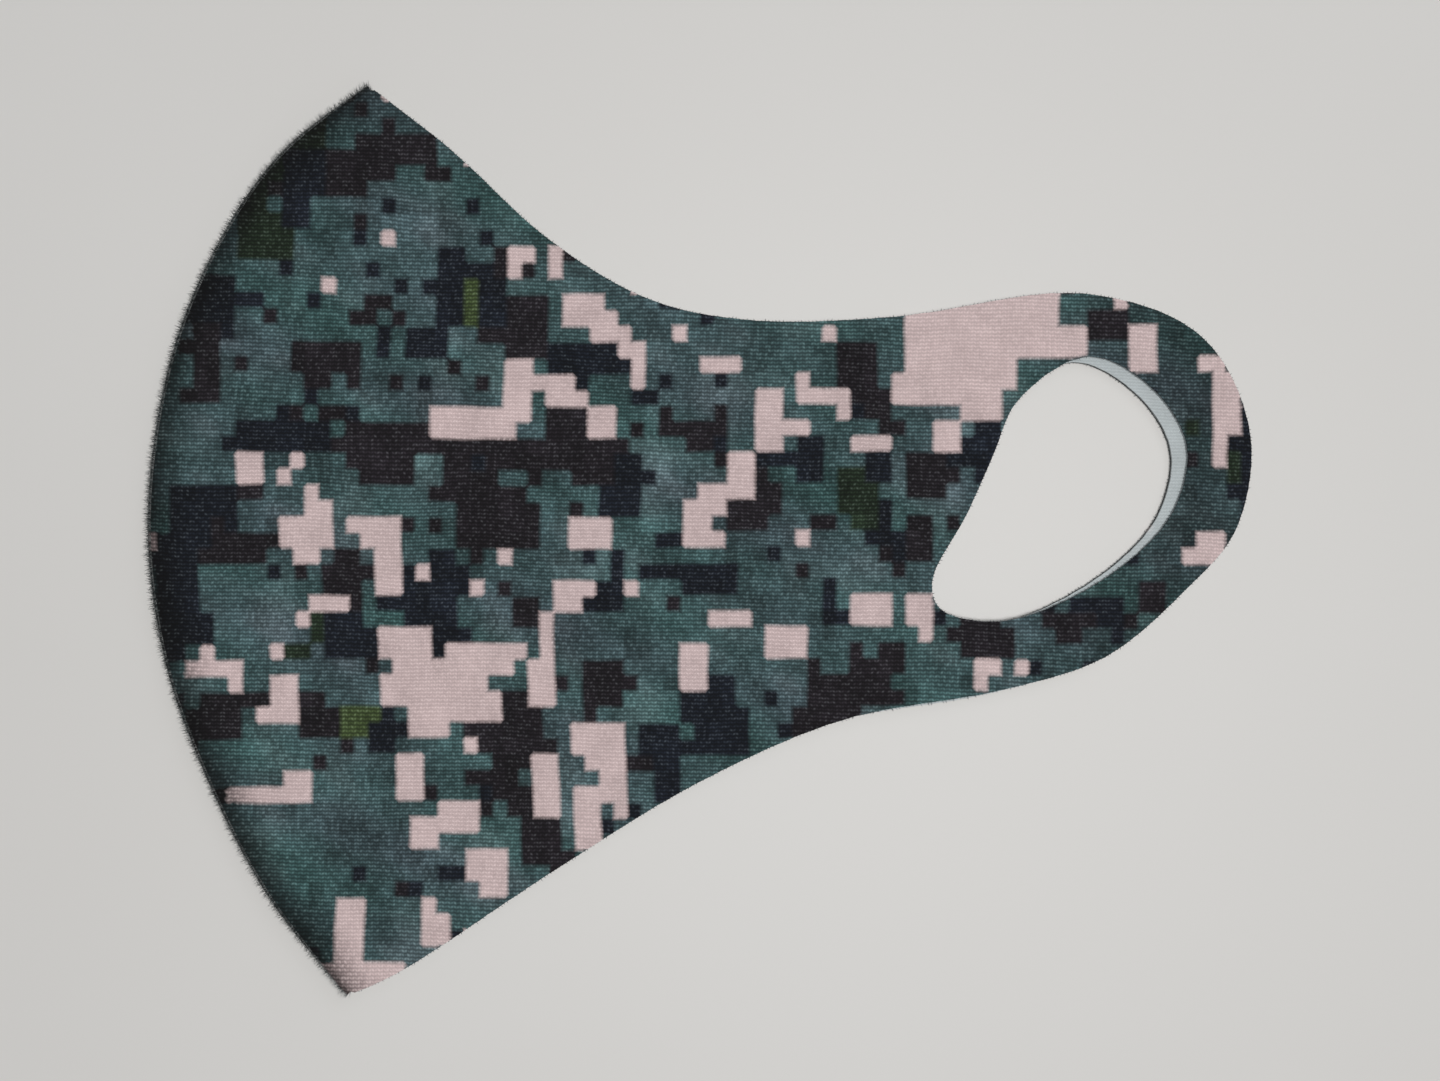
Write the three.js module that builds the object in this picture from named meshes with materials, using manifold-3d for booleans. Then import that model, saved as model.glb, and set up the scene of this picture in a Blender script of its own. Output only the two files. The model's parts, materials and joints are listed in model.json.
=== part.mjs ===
// A reusable knit face mask, lying folded flat on its right half.
// +X runs from the front seam to the ear loops, +Y from the chin to the nose, +Z up. Millimetres.
// Each half is one cut of three-layer knit: a printed face, a springy core and a pale lining.
// The halves are sewn together along the curved front, with the seam allowances turned inside.
import * as THREE from 'three';
import { mergeVertices } from 'three/addons/utils/BufferGeometryUtils.js';
import Module from 'manifold-3d';

const wasm = await Module();
wasm.setup();

// Layers of the knit.
const FACE_THICKNESS = 0.4;
const CORE_THICKNESS = 0.4;
const LINING_THICKNESS = 0.4;

// Front of the mask, from the straight line between the tips out to the seam.
const TIP_HEIGHT = 136.4;
const FRONT_DEPTH = 31.4;

// Cheeks, from the tip line back to the line where the ear loops bend.
const CHEEK_LENGTH = 105.2;
const TOP_WAIST = 34.3;
const BOTTOM_WAIST = 25.1;

// Ear holes and the straps round them.
const HOLE_LENGTH = 37.8;
const HOLE_HEIGHT = 39.2;
const HOLE_CENTRE_Y = 10.6;
const TOP_STRAP = 9.3;
const CORNER_STRAP = 10.7;
const BACK_STRAP = 9.6;
const HEEL_STRAP = 8.8;
const BOTTOM_STRAP = 10.2;

// The right half has slipped a little under the left one.
const RIGHT_SLIP = 2.1;
const RIGHT_DROP = 0.8;

// Front seam: allowances turned inside, a needle thread and two looper threads.
const ALLOWANCE_WIDTH = 5;
const ALLOWANCE_THICKNESS = 0.8;
const SEAM_LINE_INSET = 1.5;
const NEEDLE_THREAD = 0.4;
const LOOPER_THREAD = 0.5;

// Clearances.
const HINGE_GAP = 0.3;
const THREAD_GAP = 0.3;

// Steps that round stretches are drawn with.
const EDGE_STEPS = 44;
const THREAD_STEPS = 48;
const THREAD_SIDES = 8;

const FABRIC_THICKNESS = FACE_THICKNESS + CORE_THICKNESS + LINING_THICKNESS;
const HALF_SPACING = FABRIC_THICKNESS + 2 * ALLOWANCE_THICKNESS;
const ALLOWANCE_INSET = SEAM_LINE_INSET + NEEDLE_THREAD / 2 + THREAD_GAP;
const FAR = 1000;

const colours = {
  face: { color: 0x46606a, roughness: 0.85 },
  core: { color: 0x9aa0a4, roughness: 0.95 },
  lining: { color: 0xd9e2ea, roughness: 0.9 },
  allowance: { color: 0xc9d2da, roughness: 0.9 },
  thread: { color: 0x2b3036, roughness: 0.6 },
};

const model = new THREE.Group();

function addMesh(name, geometry, finish) {
  const mesh = new THREE.Mesh(geometry, new THREE.MeshStandardMaterial({ metalness: 0, ...colours[finish] }));
  mesh.name = name;
  model.add(mesh);
}

function smoothCurve(points, closed = false) {
  return new THREE.CatmullRomCurve3(points.map(([x, y]) => new THREE.Vector3(x, y, 0)), closed, 'centripetal');
}

// Points moved sideways off a curve, to the left of its direction.
function offsetPoints(curve, steps, distance) {
  const points = [];
  for (let i = 0; i <= steps; i++) {
    const along = curve.getTangentAt(i / steps);
    const sideways = new THREE.Vector3(-along.y, along.x, 0);
    points.push(curve.getPointAt(i / steps).addScaledVector(sideways, distance));
  }
  return points;
}

// The seam, from the nose tip round the front to the chin tip: how far out, how far up.
function seamCurve() {
  const shares = [
    [0, 1], [0.4, 0.85], [0.69, 0.65], [0.91, 0.385], [1, 0.035],
    [0.905, -0.27], [0.69, -0.53], [0.38, -0.79], [0, -1],
  ];
  const halfHeight = TIP_HEIGHT / 2;
  return smoothCurve(shares.map(([out, up]) => [-FRONT_DEPTH * out, halfHeight * up]));
}

// The ear hole, a teardrop that narrows towards the mouth, round its middle on the bend line.
// Each point has the width of strap behind it, and none where the cheek lies in front of it.
function earHole(middleX, middleY) {
  const shares = [
    [0.1, 0.5, TOP_STRAP], [0.36, 0.38, CORNER_STRAP], [0.5, 0.17, BACK_STRAP], [0.465, -0.06, BACK_STRAP],
    [0.34, -0.23, HEEL_STRAP], [0.07, -0.42, BOTTOM_STRAP], [-0.23, -0.525, BOTTOM_STRAP],
    [-0.47, -0.48, 0], [-0.5, -0.37, 0], [-0.37, -0.12, 0], [-0.265, 0.12, 0], [-0.18, 0.32, 0],
  ];
  const points = shares.map(([back, up]) => [middleX + HOLE_LENGTH * back, middleY + HOLE_HEIGHT * up]);
  return { curve: smoothCurve(points, true), points, straps: shares.map((share) => share[2]) };
}

// The loop's outer edge stands one strap's width off the hole, from the top strap to the bottom one.
function loopEdge(hole) {
  const edge = [];
  hole.straps.forEach((width, i) => {
    if (width > 0) {
      const along = hole.curve.getTangent(i / hole.straps.length);
      edge.push([hole.points[i][0] - along.y * width, hole.points[i][1] + along.x * width]);
    }
  });
  return edge;
}

// Outline of one half, with the bend line of its ear loop at the given distance behind the tips.
function halfOutline(bendX, drop) {
  const halfHeight = TIP_HEIGHT / 2;
  const hole = earHole(bendX, HOLE_CENTRE_Y - drop);
  const topShares = [[0, 1], [0.122, 0.72], [0.266, 0.33], [0.41, 0.08], [0.552, 0], [0.76, 0.03]];
  const bottomShares = [[0.7, 0], [0.495, 0.23], [0.285, 0.56], [0.076, 0.91], [0, 1]];
  const top = topShares.map(([back, rise]) => [
    bendX * back, THREE.MathUtils.lerp(TOP_WAIST, halfHeight, rise) - drop * back,
  ]);
  const bottom = bottomShares.map(([back, fall]) => [
    bendX * back, -THREE.MathUtils.lerp(BOTTOM_WAIST, halfHeight, fall) - drop * back,
  ]);
  const rear = smoothCurve([...top, ...loopEdge(hole), ...bottom]);
  const seam = seamCurve().getPoints(EDGE_STEPS);
  const rearPoints = rear.getPoints(2 * EDGE_STEPS).reverse();
  const shape = new THREE.Shape([...seam, ...rearPoints.slice(1, -1)].map((p) => new THREE.Vector2(p.x, p.y)));
  const holePoints = hole.curve.getPoints(EDGE_STEPS).slice(0, -1);
  shape.holes.push(new THREE.Path(holePoints.map((p) => new THREE.Vector2(p.x, p.y))));
  return shape;
}

function toManifold(geometry) {
  const bare = geometry.clone();
  bare.deleteAttribute('normal');
  bare.deleteAttribute('uv');
  const merged = mergeVertices(bare, 1e-4);
  return new wasm.Manifold(new wasm.Mesh({
    numProp: 3,
    vertProperties: new Float32Array(merged.attributes.position.array),
    triVerts: new Uint32Array(merged.index.array),
  }));
}

function toGeometry(manifold) {
  const mesh = manifold.getMesh();
  const geometry = new THREE.BufferGeometry();
  geometry.setAttribute('position', new THREE.BufferAttribute(mesh.vertProperties, 3));
  geometry.setIndex(new THREE.BufferAttribute(mesh.triVerts, 1));
  geometry.computeVertexNormals();
  return geometry;
}

function flatSheet(shape, bottom, thickness) {
  const sheet = new THREE.ExtrudeGeometry(shape, { depth: thickness, bevelEnabled: false, curveSegments: 1 });
  return sheet.translate(0, 0, bottom);
}

// The stretch of a sheet that lies between two X positions.
function stretchOf(sheet, fromX, toX) {
  const block = new THREE.BoxGeometry(toX - fromX, FAR, FAR).translate((fromX + toX) / 2, 0, 0);
  return toGeometry(toManifold(sheet).intersect(toManifold(block)));
}

// A thread laid at a constant distance inside the seam.
function thread(inset, height, thickness) {
  const laid = offsetPoints(seamCurve(), THREAD_STEPS, inset).filter((p) => p.x < -HINGE_GAP);
  laid.forEach((p) => { p.z = height; });
  const section = new THREE.Shape();
  section.absarc(0, 0, thickness / 2, 0, 2 * Math.PI);
  return new THREE.ExtrudeGeometry(section, {
    extrudePath: new THREE.CatmullRomCurve3(laid),
    steps: THREAD_STEPS,
    curveSegments: THREAD_SIDES,
    bevelEnabled: false,
  });
}

// One half of the mask: its three layers, each in three stretches that bend against each other.
function addHalf(side, layers, bottom, bendX, drop) {
  const shape = halfOutline(bendX, drop);
  let height = bottom;
  for (const [layer, thickness] of layers) {
    const sheet = flatSheet(shape, height, thickness);
    addMesh(`${side}_front_${layer}`, stretchOf(sheet, -FAR, -HINGE_GAP / 2), layer);
    addMesh(`${side}_cheek_${layer}`, stretchOf(sheet, HINGE_GAP / 2, bendX - HINGE_GAP / 2), layer);
    addMesh(`${side}_ear_loop_${layer}`, stretchOf(sheet, bendX + HINGE_GAP / 2, FAR), layer);
    height += thickness;
  }
}

// A half's seam allowance, turned back inside the front seam.
function addAllowance(side, bottom) {
  const seam = seamCurve();
  const outer = offsetPoints(seam, EDGE_STEPS, ALLOWANCE_INSET);
  const inner = offsetPoints(seam, EDGE_STEPS, ALLOWANCE_INSET + ALLOWANCE_WIDTH).reverse();
  const shape = new THREE.Shape([...outer, ...inner].map((p) => new THREE.Vector2(p.x, p.y)));
  const band = flatSheet(shape, bottom, ALLOWANCE_THICKNESS);
  addMesh(`${side}_seam_allowance`, stretchOf(band, -FAR, -HINGE_GAP / 2), 'allowance');
}

const layersUp = [['face', FACE_THICKNESS], ['core', CORE_THICKNESS], ['lining', LINING_THICKNESS]];
addHalf('right', layersUp, 0, CHEEK_LENGTH - RIGHT_SLIP, RIGHT_DROP);
addHalf('left', [...layersUp].reverse(), HALF_SPACING, CHEEK_LENGTH, 0);

addAllowance('right', FABRIC_THICKNESS);
addAllowance('left', FABRIC_THICKNESS + ALLOWANCE_THICKNESS);

const seamHeight = FABRIC_THICKNESS + ALLOWANCE_THICKNESS;
const looperInset = ALLOWANCE_INSET + ALLOWANCE_WIDTH + THREAD_GAP + LOOPER_THREAD / 2;
addMesh('needle_thread', thread(SEAM_LINE_INSET, seamHeight, NEEDLE_THREAD), 'thread');
addMesh('lower_looper_thread', thread(looperInset, seamHeight - ALLOWANCE_THICKNESS / 2, LOOPER_THREAD), 'thread');
addMesh('upper_looper_thread', thread(looperInset, seamHeight + ALLOWANCE_THICKNESS / 2, LOOPER_THREAD), 'thread');

// The origin lies under the middle of the folded mask.
const middle = new THREE.Box3().setFromObject(model).getCenter(new THREE.Vector3());
model.position.set(-middle.x, -middle.y, 0);

export default model;
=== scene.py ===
import json
import math
from collections import Counter, defaultdict
from functools import lru_cache

import bpy
import numpy as np
from bpy.props import FloatProperty, FloatVectorProperty, IntProperty, PointerProperty
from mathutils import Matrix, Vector, geometry, kdtree


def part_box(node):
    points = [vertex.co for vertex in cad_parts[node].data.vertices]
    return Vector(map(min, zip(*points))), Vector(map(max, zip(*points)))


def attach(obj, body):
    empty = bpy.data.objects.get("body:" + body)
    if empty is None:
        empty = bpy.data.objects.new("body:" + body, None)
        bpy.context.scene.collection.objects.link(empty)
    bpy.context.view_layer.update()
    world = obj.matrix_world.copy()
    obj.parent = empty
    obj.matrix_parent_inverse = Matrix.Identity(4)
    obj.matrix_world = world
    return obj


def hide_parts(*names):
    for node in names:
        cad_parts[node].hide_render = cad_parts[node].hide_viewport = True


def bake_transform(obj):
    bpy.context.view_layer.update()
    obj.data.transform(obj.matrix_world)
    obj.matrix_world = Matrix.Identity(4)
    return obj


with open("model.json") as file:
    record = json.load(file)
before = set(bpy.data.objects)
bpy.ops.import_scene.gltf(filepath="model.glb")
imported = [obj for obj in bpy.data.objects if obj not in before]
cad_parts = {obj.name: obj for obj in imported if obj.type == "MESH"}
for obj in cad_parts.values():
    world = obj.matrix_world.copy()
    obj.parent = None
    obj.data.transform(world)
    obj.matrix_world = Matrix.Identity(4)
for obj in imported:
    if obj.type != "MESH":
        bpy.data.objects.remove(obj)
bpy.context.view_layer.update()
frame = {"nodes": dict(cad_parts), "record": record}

bl_info = {
    "name": "Camouflage Face Mask",
    "version": (1, 0, 0),
    "blender": (4, 5, 0),
    "location": "3D View > Sidebar > Face Mask",
    "description": "Builds a knit face mask, folded flat, around its fixed frame",
    "category": "Add Mesh",
}

# Pattern work is done in millimetres; finished meshes are in metres.
MM = 0.001

SIDES = ("left", "right")
LAYERS = ("face", "core", "lining")
JOINTS = {joint["name"]: joint for joint in frame["record"]["behaviour"]["joints"]}
TIP_X = JOINTS["left_cheek_opening"]["pos_m"][0] / MM
BEND_X = {side: JOINTS[f"{side}_ear_loop_bend"]["pos_m"][0] / MM for side in SIDES}
FOLD_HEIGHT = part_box("left_front_face")[1].z / MM
SEAM_HEIGHT = FOLD_HEIGHT / 2

# At the front seam each half rolls over an ellipse of this height and reach.
ROLL_HEIGHT = SEAM_HEIGHT / 2
ROLL_REACH = 2.3
FABRIC = (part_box("left_front_face")[1].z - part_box("left_front_lining")[0].z) / MM
# How far the upper and the lower surface of each layer lie under the printed face.
LAYER_DEPTHS = {
    layer: tuple((FOLD_HEIGHT - corner.z / MM) for corner in reversed(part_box(f"left_front_{layer}")))
    for layer in LAYERS
}
ALLOWANCE_WIDTH = 5.0
FLOOR_GAP = 0.01

# Each half is made in a front part and a rear part.
PART_COLUMN = -0.5

# The print is a digital camouflage on a grid of blocks. Its patches, large and small, are listed, each
# as (left, bottom, right, top) in grid lines. Their stepped edges, the crumbs round the dark ones and the
# single spots come from chance.
PATCHES = {
    "moss": (
        (-34, 18, -30, 25), (-31, 23, -28, 27), (9, 2, 12, 5), (-28, -6, -24, -5), (38, 4, 41, 6),
    ),
    "bark": (
        (-27, 23, -22, 25), (-25, 28, -22, 31), (-22, 24, -19, 26), (-14, 20, -10, 23),
        (-28, 11, -24, 13), (-36, 9, -34, 13), (-15, 12, -12, 16), (-2, 6, 2, 9), (10, 8, 13, 13),
        (3, 1, 6, 4), (-14, 5, -8, 8), (-18, 3, -15, 7), (-16, 0, -11, 4), (-9, 4, -5, 8),
        (-25, 6, -20, 8), (-23, 3, -20, 6), (-37, -1, -31, 1), (-36, -13, -33, -9), (-29, -13, -24, -9),
        (-17, -14, -11, -10), (-16, -17, -12, -14), (-13, -20, -10, -16), (-8, -11, -5, -8),
        (9, -10, 15, -7), (7, -12, 11, -10), (15, 3, 20, 7), (15, -1, 17, 2), (28, 13, 30, 15),
        (19, -7, 23, -5), (26, -6, 28, -4), (32, -4, 34, -2), (-13, -5, -11, -3), (-26, -4, -24, -1),
    ),
    "ink": (
        (-30, 20, -28, 25), (-37, 14, -33, 17), (-19, 14, -15, 19), (-20, 12, -18, 14),
        (-11, 11, -5, 13), (-4, 14, 0, 17), (-33, 6, -26, 8), (-37, 1, -33, 4), (-39, -7, -35, 3),
        (-6, 2, -3, 6), (-7, -4, -5, -2), (-27, -7, -23, -5), (-21, -6, -16, -1), (-24, -12, -22, -10),
        (-19, -21, -17, -20), (-3, -16, -1, -11), (0, -13, 4, -8), (-3, -2, 3, -1), (9, -5, 10, -3),
        (12, 4, 14, 6), (4, 5, 9, 6), (19, 3, 22, 9), (39, 1, 41, 8), (27, -4, 31, -3),
        (-27, -30, -24, -28), (13, 0, 14, 3),
    ),
    "olive": (
        (-17, 14, -16, 16), (-26, -11, -24, -10),
    ),
    "pale": (
        (15, 12, 26, 17), (14, 8, 23, 14), (25, 12, 28, 14), (31, 11, 33, 14), (36, 11, 38, 12),
        (37, 7, 39, 11), (37, 5, 38, 7), (35, -2, 38, 1), (-10, 14, -7, 16), (-8, 12, -5, 15),
        (-5, 10, -4, 13), (-14, 8, -12, 12), (-12, 10, -9, 11), (-11, 9, -8, 10), (-8, 7, -6, 9),
        (-19, 7, -14, 9), (-14, 18, -12, 19), (-11, 17, -10, 19), (4, 6, 6, 10), (6, 7, 7, 8),
        (7, 9, 11, 10), (2, 3, 4, 6), (0, 2, 2, 4), (-1, 0, 1, 2), (0, 11, 2, 12), (-9, 0, -6, 2),
        (-30, -1, -26, 3), (-33, 4, -31, 6), (-24, 0, -21, 2), (-23, -3, -21, 0), (-28, -4, -25, -3),
        (-23, -9, -14, -6), (-22, -12, -17, -8), (-18, -11, -14, -8), (-15, -8, -12, -5),
        (-11, -10, -10, -4), (-10, -4, -8, -2), (-38, -9, -33, -6), (-32, -11, -29, -8),
        (-33, -16, -30, -15), (-30, -16, -28, -14), (-22, -16, -20, -13), (-21, -19, -19, -17),
        (-19, -18, -16, -16), (-16, -22, -14, -19), (-26, -26, -24, -22), (-27, -28, -21, -26),
        (-21, -25, -18, -22), (-9, -13, -5, -11), (-8, -17, -5, -12), (-9, -19, -7, -15),
        (-12, -17, -10, -14), (-1, -9, 1, -6), (1, -5, 4, -4), (5, -7, 8, -5), (11, -5, 14, -3),
        (15, -5, 17, -3), (12, 6, 14, 7), (17, 6, 19, 8), (20, -9, 21, -7),
    ),
}
# The print covers this many blocks each way from its middle, which lies just off the origin.
GRID_MARGIN = 44
PRINT_MIDDLE = (-0.22, 0.04)

DYES = {
    "mist": ("Lightest ground", (0.067, 0.106, 0.114)),
    "teal": ("Main ground", (0.044, 0.081, 0.087)),
    "deep": ("Darkest ground", (0.030, 0.059, 0.062)),
    "bark": ("Brown black", (0.0120, 0.0098, 0.0130)),
    "ink": ("Blue black", (0.0065, 0.0090, 0.0150)),
    "moss": ("Dark green", (0.0120, 0.0215, 0.0120)),
    "olive": ("Olive spots", (0.040, 0.060, 0.022)),
    "pale": ("Pinkish beige", (0.60, 0.475, 0.475)),
}


def length_setting(name, about, millimetres):
    """A setting that is a length: given in millimetres, kept in metres."""
    return FloatProperty(name=name, description=about, default=millimetres * MM, unit="LENGTH")


class ClothSettings(bpy.types.PropertyGroup):
    """Sizes of the cut cloth, in millimetres as all pattern work is."""

    block_width: FloatProperty(
        name="Block width", description="Width of one block of the print", default=2.0755, min=0.5)
    block_height: FloatProperty(
        name="Block height", description="Height of one block of the print", default=2.383, min=0.5)
    print_tilt: FloatProperty(
        name="Print tilt", description="How far the print is turned", default=math.radians(1.318),
        subtype="ANGLE")
    edge_step: FloatProperty(
        name="Edge step", description="Distance between points along a cut edge", default=0.35, min=0.1)
    ripple: FloatProperty(
        name="Ripple", description="Height of the cloth's slow waves", default=0.16, min=0)
    seed: IntProperty(name="Seed", description="Seed of the print's edges and spots", default=11)


class PrintColours(bpy.types.PropertyGroup):
    """Dyes of the print."""

    __annotations__ = {
        dye: FloatVectorProperty(name=dye.title(), description=about, subtype="COLOR", default=colour)
        for dye, (about, colour) in DYES.items()
    }


class SeamSettings(bpy.types.PropertyGroup):
    """Sizes of the sewing and of the loose fibres."""

    stitch_length: length_setting("Stitch length", "Length of one stitch", 2.2)
    thread_radius: length_setting("Thread radius", "Radius of the sewing thread", 0.13)
    fibre_spacing: length_setting("Fibre spacing", "Distance between fibres along the seam", 0.16)
    fibre_length: length_setting("Fibre length", "Length of the fibres along the seam", 0.95)
    fibre_radius: length_setting("Fibre radius", "Radius of the fibres along the seam", 0.05)
    nub_spacing: length_setting("Nub spacing", "Distance between nubs along a cut edge", 0.55)
    nub_length: length_setting("Nub length", "Length of the nubs along a cut edge", 0.36)
    nub_radius: length_setting("Nub radius", "Radius of the nubs along a cut edge", 0.07)
    seed: IntProperty(name="Seed", description="Seed of the fibres' lean and length", default=5)


class StageSettings(bpy.types.PropertyGroup):
    """Camera and light."""

    lens: FloatProperty(name="Lens", description="Focal length", default=50, unit="CAMERA")
    view_width: length_setting("View width", "Width seen at the top of the mask", 215.02)
    view_middle: FloatVectorProperty(
        name="View middle", description="Place on the mask under the camera", size=2,
        default=(3.2 * MM, 1.25 * MM), unit="LENGTH")
    roll: FloatProperty(
        name="Roll", description="Turn of the camera about its view", default=math.radians(1.318),
        subtype="ANGLE")


# ---------------------------------------------------------------- outline of the cut cloth

def rim_edges(node):
    """The edges round the upper face of a flat node, as pairs of places in millimetres."""
    mesh = frame["nodes"][node].data
    top = max(vertex.co.z for vertex in mesh.vertices)
    uses = Counter()
    for polygon in mesh.polygons:
        corners = [mesh.vertices[i].co for i in polygon.vertices]
        if min(corner.z for corner in corners) > top - 1e-6:
            keys = [(round(corner.x / MM, 3), round(corner.y / MM, 3)) for corner in corners]
            for a, b in zip(keys, keys[1:] + keys[:1]):
                uses[frozenset((a, b))] += 1
    return [tuple(edge) for edge, count in uses.items() if count == 1]


def closed_loops(side):
    """The outline and the ear hole of one half, each a closed loop running anticlockwise."""
    cut_reach = 0.2
    neighbours = defaultdict(list)
    for part in ("front", "cheek", "ear_loop"):
        for a, b in rim_edges(f"{side}_{part}_face"):
            cuts = (TIP_X, BEND_X[side])
            if any(abs(a[0] - cut) < cut_reach and abs(b[0] - cut) < cut_reach for cut in cuts):
                continue
            neighbours[a].append(b)
            neighbours[b].append(a)
    loose = sorted(place for place, near in neighbours.items() if len(near) == 1)
    while loose:
        a = loose.pop()
        b = min(loose, key=lambda place: math.dist(a, place))
        loose.remove(b)
        neighbours[a].append(b)
        neighbours[b].append(a)
    loops = []
    unused = set(neighbours)
    while unused:
        place = min(unused)
        loop = []
        while place is not None:
            loop.append(place)
            unused.discard(place)
            place = next((near for near in neighbours[place] if near in unused), None)
        loops.append(np.array(loop))
    loops.sort(key=lambda loop: np.ptp(loop[:, 0]), reverse=True)
    return [loop if loop_area(loop) > 0 else loop[::-1] for loop in loops]


def loop_area(loop):
    """Area inside a closed loop, below zero where it runs clockwise."""
    following = np.roll(loop, -1, axis=0)
    return 0.5 * float(np.sum(loop[:, 0] * following[:, 1] - following[:, 0] * loop[:, 1]))


def resample(points, step):
    """Points a constant distance apart along an open line, ends kept."""
    lengths = np.r_[0, np.cumsum(np.linalg.norm(np.diff(points, axis=0), axis=1))]
    count = max(2, round(lengths[-1] / step) + 1)
    places = np.linspace(0, lengths[-1], count)
    return np.c_[np.interp(places, lengths, points[:, 0]), np.interp(places, lengths, points[:, 1])]


def soften(points, passes):
    """Evens out the corners of an open line, ends kept."""
    points = points.copy()
    for _ in range(passes):
        points[1:-1] = (points[:-2] + 2 * points[1:-1] + points[2:]) / 4
    return points


def directions(points):
    """Unit directions along an open line."""
    along = np.gradient(points, axis=0)
    return along / np.linalg.norm(along, axis=1)[:, None]


def waves(places, lengths, seed):
    """A smooth field between about -1 and 1, made of a few sine waves in mixed directions."""
    rng = np.random.default_rng(seed)
    total = np.zeros(len(places))
    for length in lengths:
        angle, shift = rng.uniform(0, 2 * math.pi, 2)
        along = places[:, 0] * math.cos(angle) + places[:, 1] * math.sin(angle)
        total += np.sin(2 * math.pi * along / length + shift)
    return total / len(lengths)


def inside(places, loop):
    """Which places lie inside a closed loop."""
    chunk = 4000
    x0, y0 = loop.T
    x1, y1 = np.roll(loop, -1, axis=0).T
    slope = (x1 - x0) / np.where(y1 == y0, 1, y1 - y0)
    found = []
    for start in range(0, len(places), chunk):
        x, y = places[start:start + chunk, 0:1], places[start:start + chunk, 1:2]
        crosses = ((y0 > y) != (y1 > y)) & (x < x0 + (y - y0) * slope)
        found.append(crosses.sum(axis=1) % 2 == 1)
    return np.concatenate(found)


def distances_to(targets, places):
    """How far each place lies from the nearest target."""
    tree = kdtree.KDTree(len(targets))
    for i, (x, y) in enumerate(targets):
        tree.insert((x, y, 0), i)
    tree.balance()
    return np.array([tree.find((x, y, 0))[2] for x, y in places])


# ---------------------------------------------------------------- print

def to_print(places, cloth):
    """Places on the cloth in blocks of the print: columns and rows."""
    turn = cloth.print_tilt
    x, y = places[:, 0], places[:, 1]
    along = x * math.cos(turn) + y * math.sin(turn) - PRINT_MIDDLE[0]
    across = y * math.cos(turn) - x * math.sin(turn) - PRINT_MIDDLE[1]
    return np.c_[along / cloth.block_width, across / cloth.block_height]


def from_print(blocks, cloth):
    """Columns and rows of the print as places on the cloth."""
    turn = cloth.print_tilt
    along = blocks[:, 0] * cloth.block_width + PRINT_MIDDLE[0]
    across = blocks[:, 1] * cloth.block_height + PRINT_MIDDLE[1]
    x = along * math.cos(turn) - across * math.sin(turn)
    y = across * math.cos(turn) + along * math.sin(turn)
    return np.c_[x, y]


def wobble(places):
    """Wandering of the block edges: the knit slanted and stretched a little under the print."""
    quick, slow_across, slow_upward = 0.1, 0.75, 0.375
    across = quick * waves(places, (9.0, 6.5, 14.0), 21) + slow_across * waves(places, (88.0, 67.0), 23)
    upward = quick * waves(places, (8.0, 5.5, 13.0), 22) + slow_upward * waves(places, (94.0, 71.0), 24)
    return np.c_[across, upward]


def frayed(patch, size, added, bitten, rng):
    """Which blocks a patch covers: its straight sides become steps, with short runs added or bitten off."""
    longest_run = 3
    left, bottom, right, top = patch
    covered = np.zeros((size, size), bool)
    covered[bottom:top, left:right] = True
    thick = min(right - left, top - bottom) > 2
    sides = (
        (covered, bottom, bottom - 1, left, right), (covered, top - 1, top, left, right),
        (covered.T, left, left - 1, bottom, top), (covered.T, right - 1, right, bottom, top),
    )
    for blocks, inner, outer, start, stop in sides:
        while start < stop:
            end = min(start + rng.integers(1, longest_run + 1), stop)
            luck = rng.random()
            if luck < added:
                blocks[outer, start:end] = True
            elif luck < added + bitten and thick:
                blocks[inner, start:end] = False
            start = end
    return covered


def scatter_crumbs(tones, tone, patch, rng):
    """Single blocks and pairs that stand a little way off a patch, one for each five blocks of its sides."""
    spread = 3
    left, bottom, right, top = patch
    for _ in range(1 + (right - left + top - bottom) // 5):
        column = rng.integers(left - spread, right + spread)
        row = rng.integers(bottom - spread, top + spread)
        tones[row, column:column + rng.integers(1, 3)] = tone


def print_layout(cloth):
    """The tone of every block of the print: ground, spots, crumbs, then the patches with stepped edges."""
    rng = np.random.default_rng(cloth.seed)
    size = 2 * GRID_MARGIN
    tones = np.full((size, size), "ground", dtype=object)
    for tone, share in (("ink", 0.022), ("bark", 0.022), ("pale", 0.026)):
        tones[rng.random((size, size)) < share] = tone
    patches = [
        (tone, tuple(line + GRID_MARGIN for line in patch))
        for tone, group in PATCHES.items() for patch in group
    ]
    for tone, patch in patches:
        if tone in ("bark", "ink", "moss"):
            scatter_crumbs(tones, tone, patch, rng)
    for tone, patch in patches:
        added, bitten = (0.03, 0.26) if tone == "pale" else (0.26, 0.22)
        tones[frayed(patch, size, added, bitten, rng)] = tone
    return tones


def ground_dye_and_shade(places, colours):
    """The ground's dye drifts between a mist grey, a blue green and a deep green, with painted shade that
    darkens it towards the ear loop.
    """
    painted_loop_shade_start, painted_loop_shade_reach, painted_loop_shade_depth = 35, 40, 0.4
    drift = 1.3 * waves(places, (27.0, 16.0, 38.0, 11.0), 61) + 0.5 * waves(places, (5.5, 7.5, 4.2), 62)
    tint = waves(places, (33.0, 21.0, 13.0), 63)[:, None]
    low, middle, high = (np.array(getattr(colours, tone)) for tone in ("deep", "teal", "mist"))
    mixed = np.where(drift[:, None] > 0, middle + (high - middle) * ease(drift)[:, None],
                     middle + (low - middle) * ease(-drift)[:, None])
    # Painted shade: the colour is darkened towards the ear loop.
    painted_loop_shade = 1 - painted_loop_shade_depth * ease((places[:, 0] - painted_loop_shade_start) / painted_loop_shade_reach)[:, None]
    return mixed * painted_loop_shade * (1 + tint * np.array((-0.12, 0.08, 0.0)))


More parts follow.
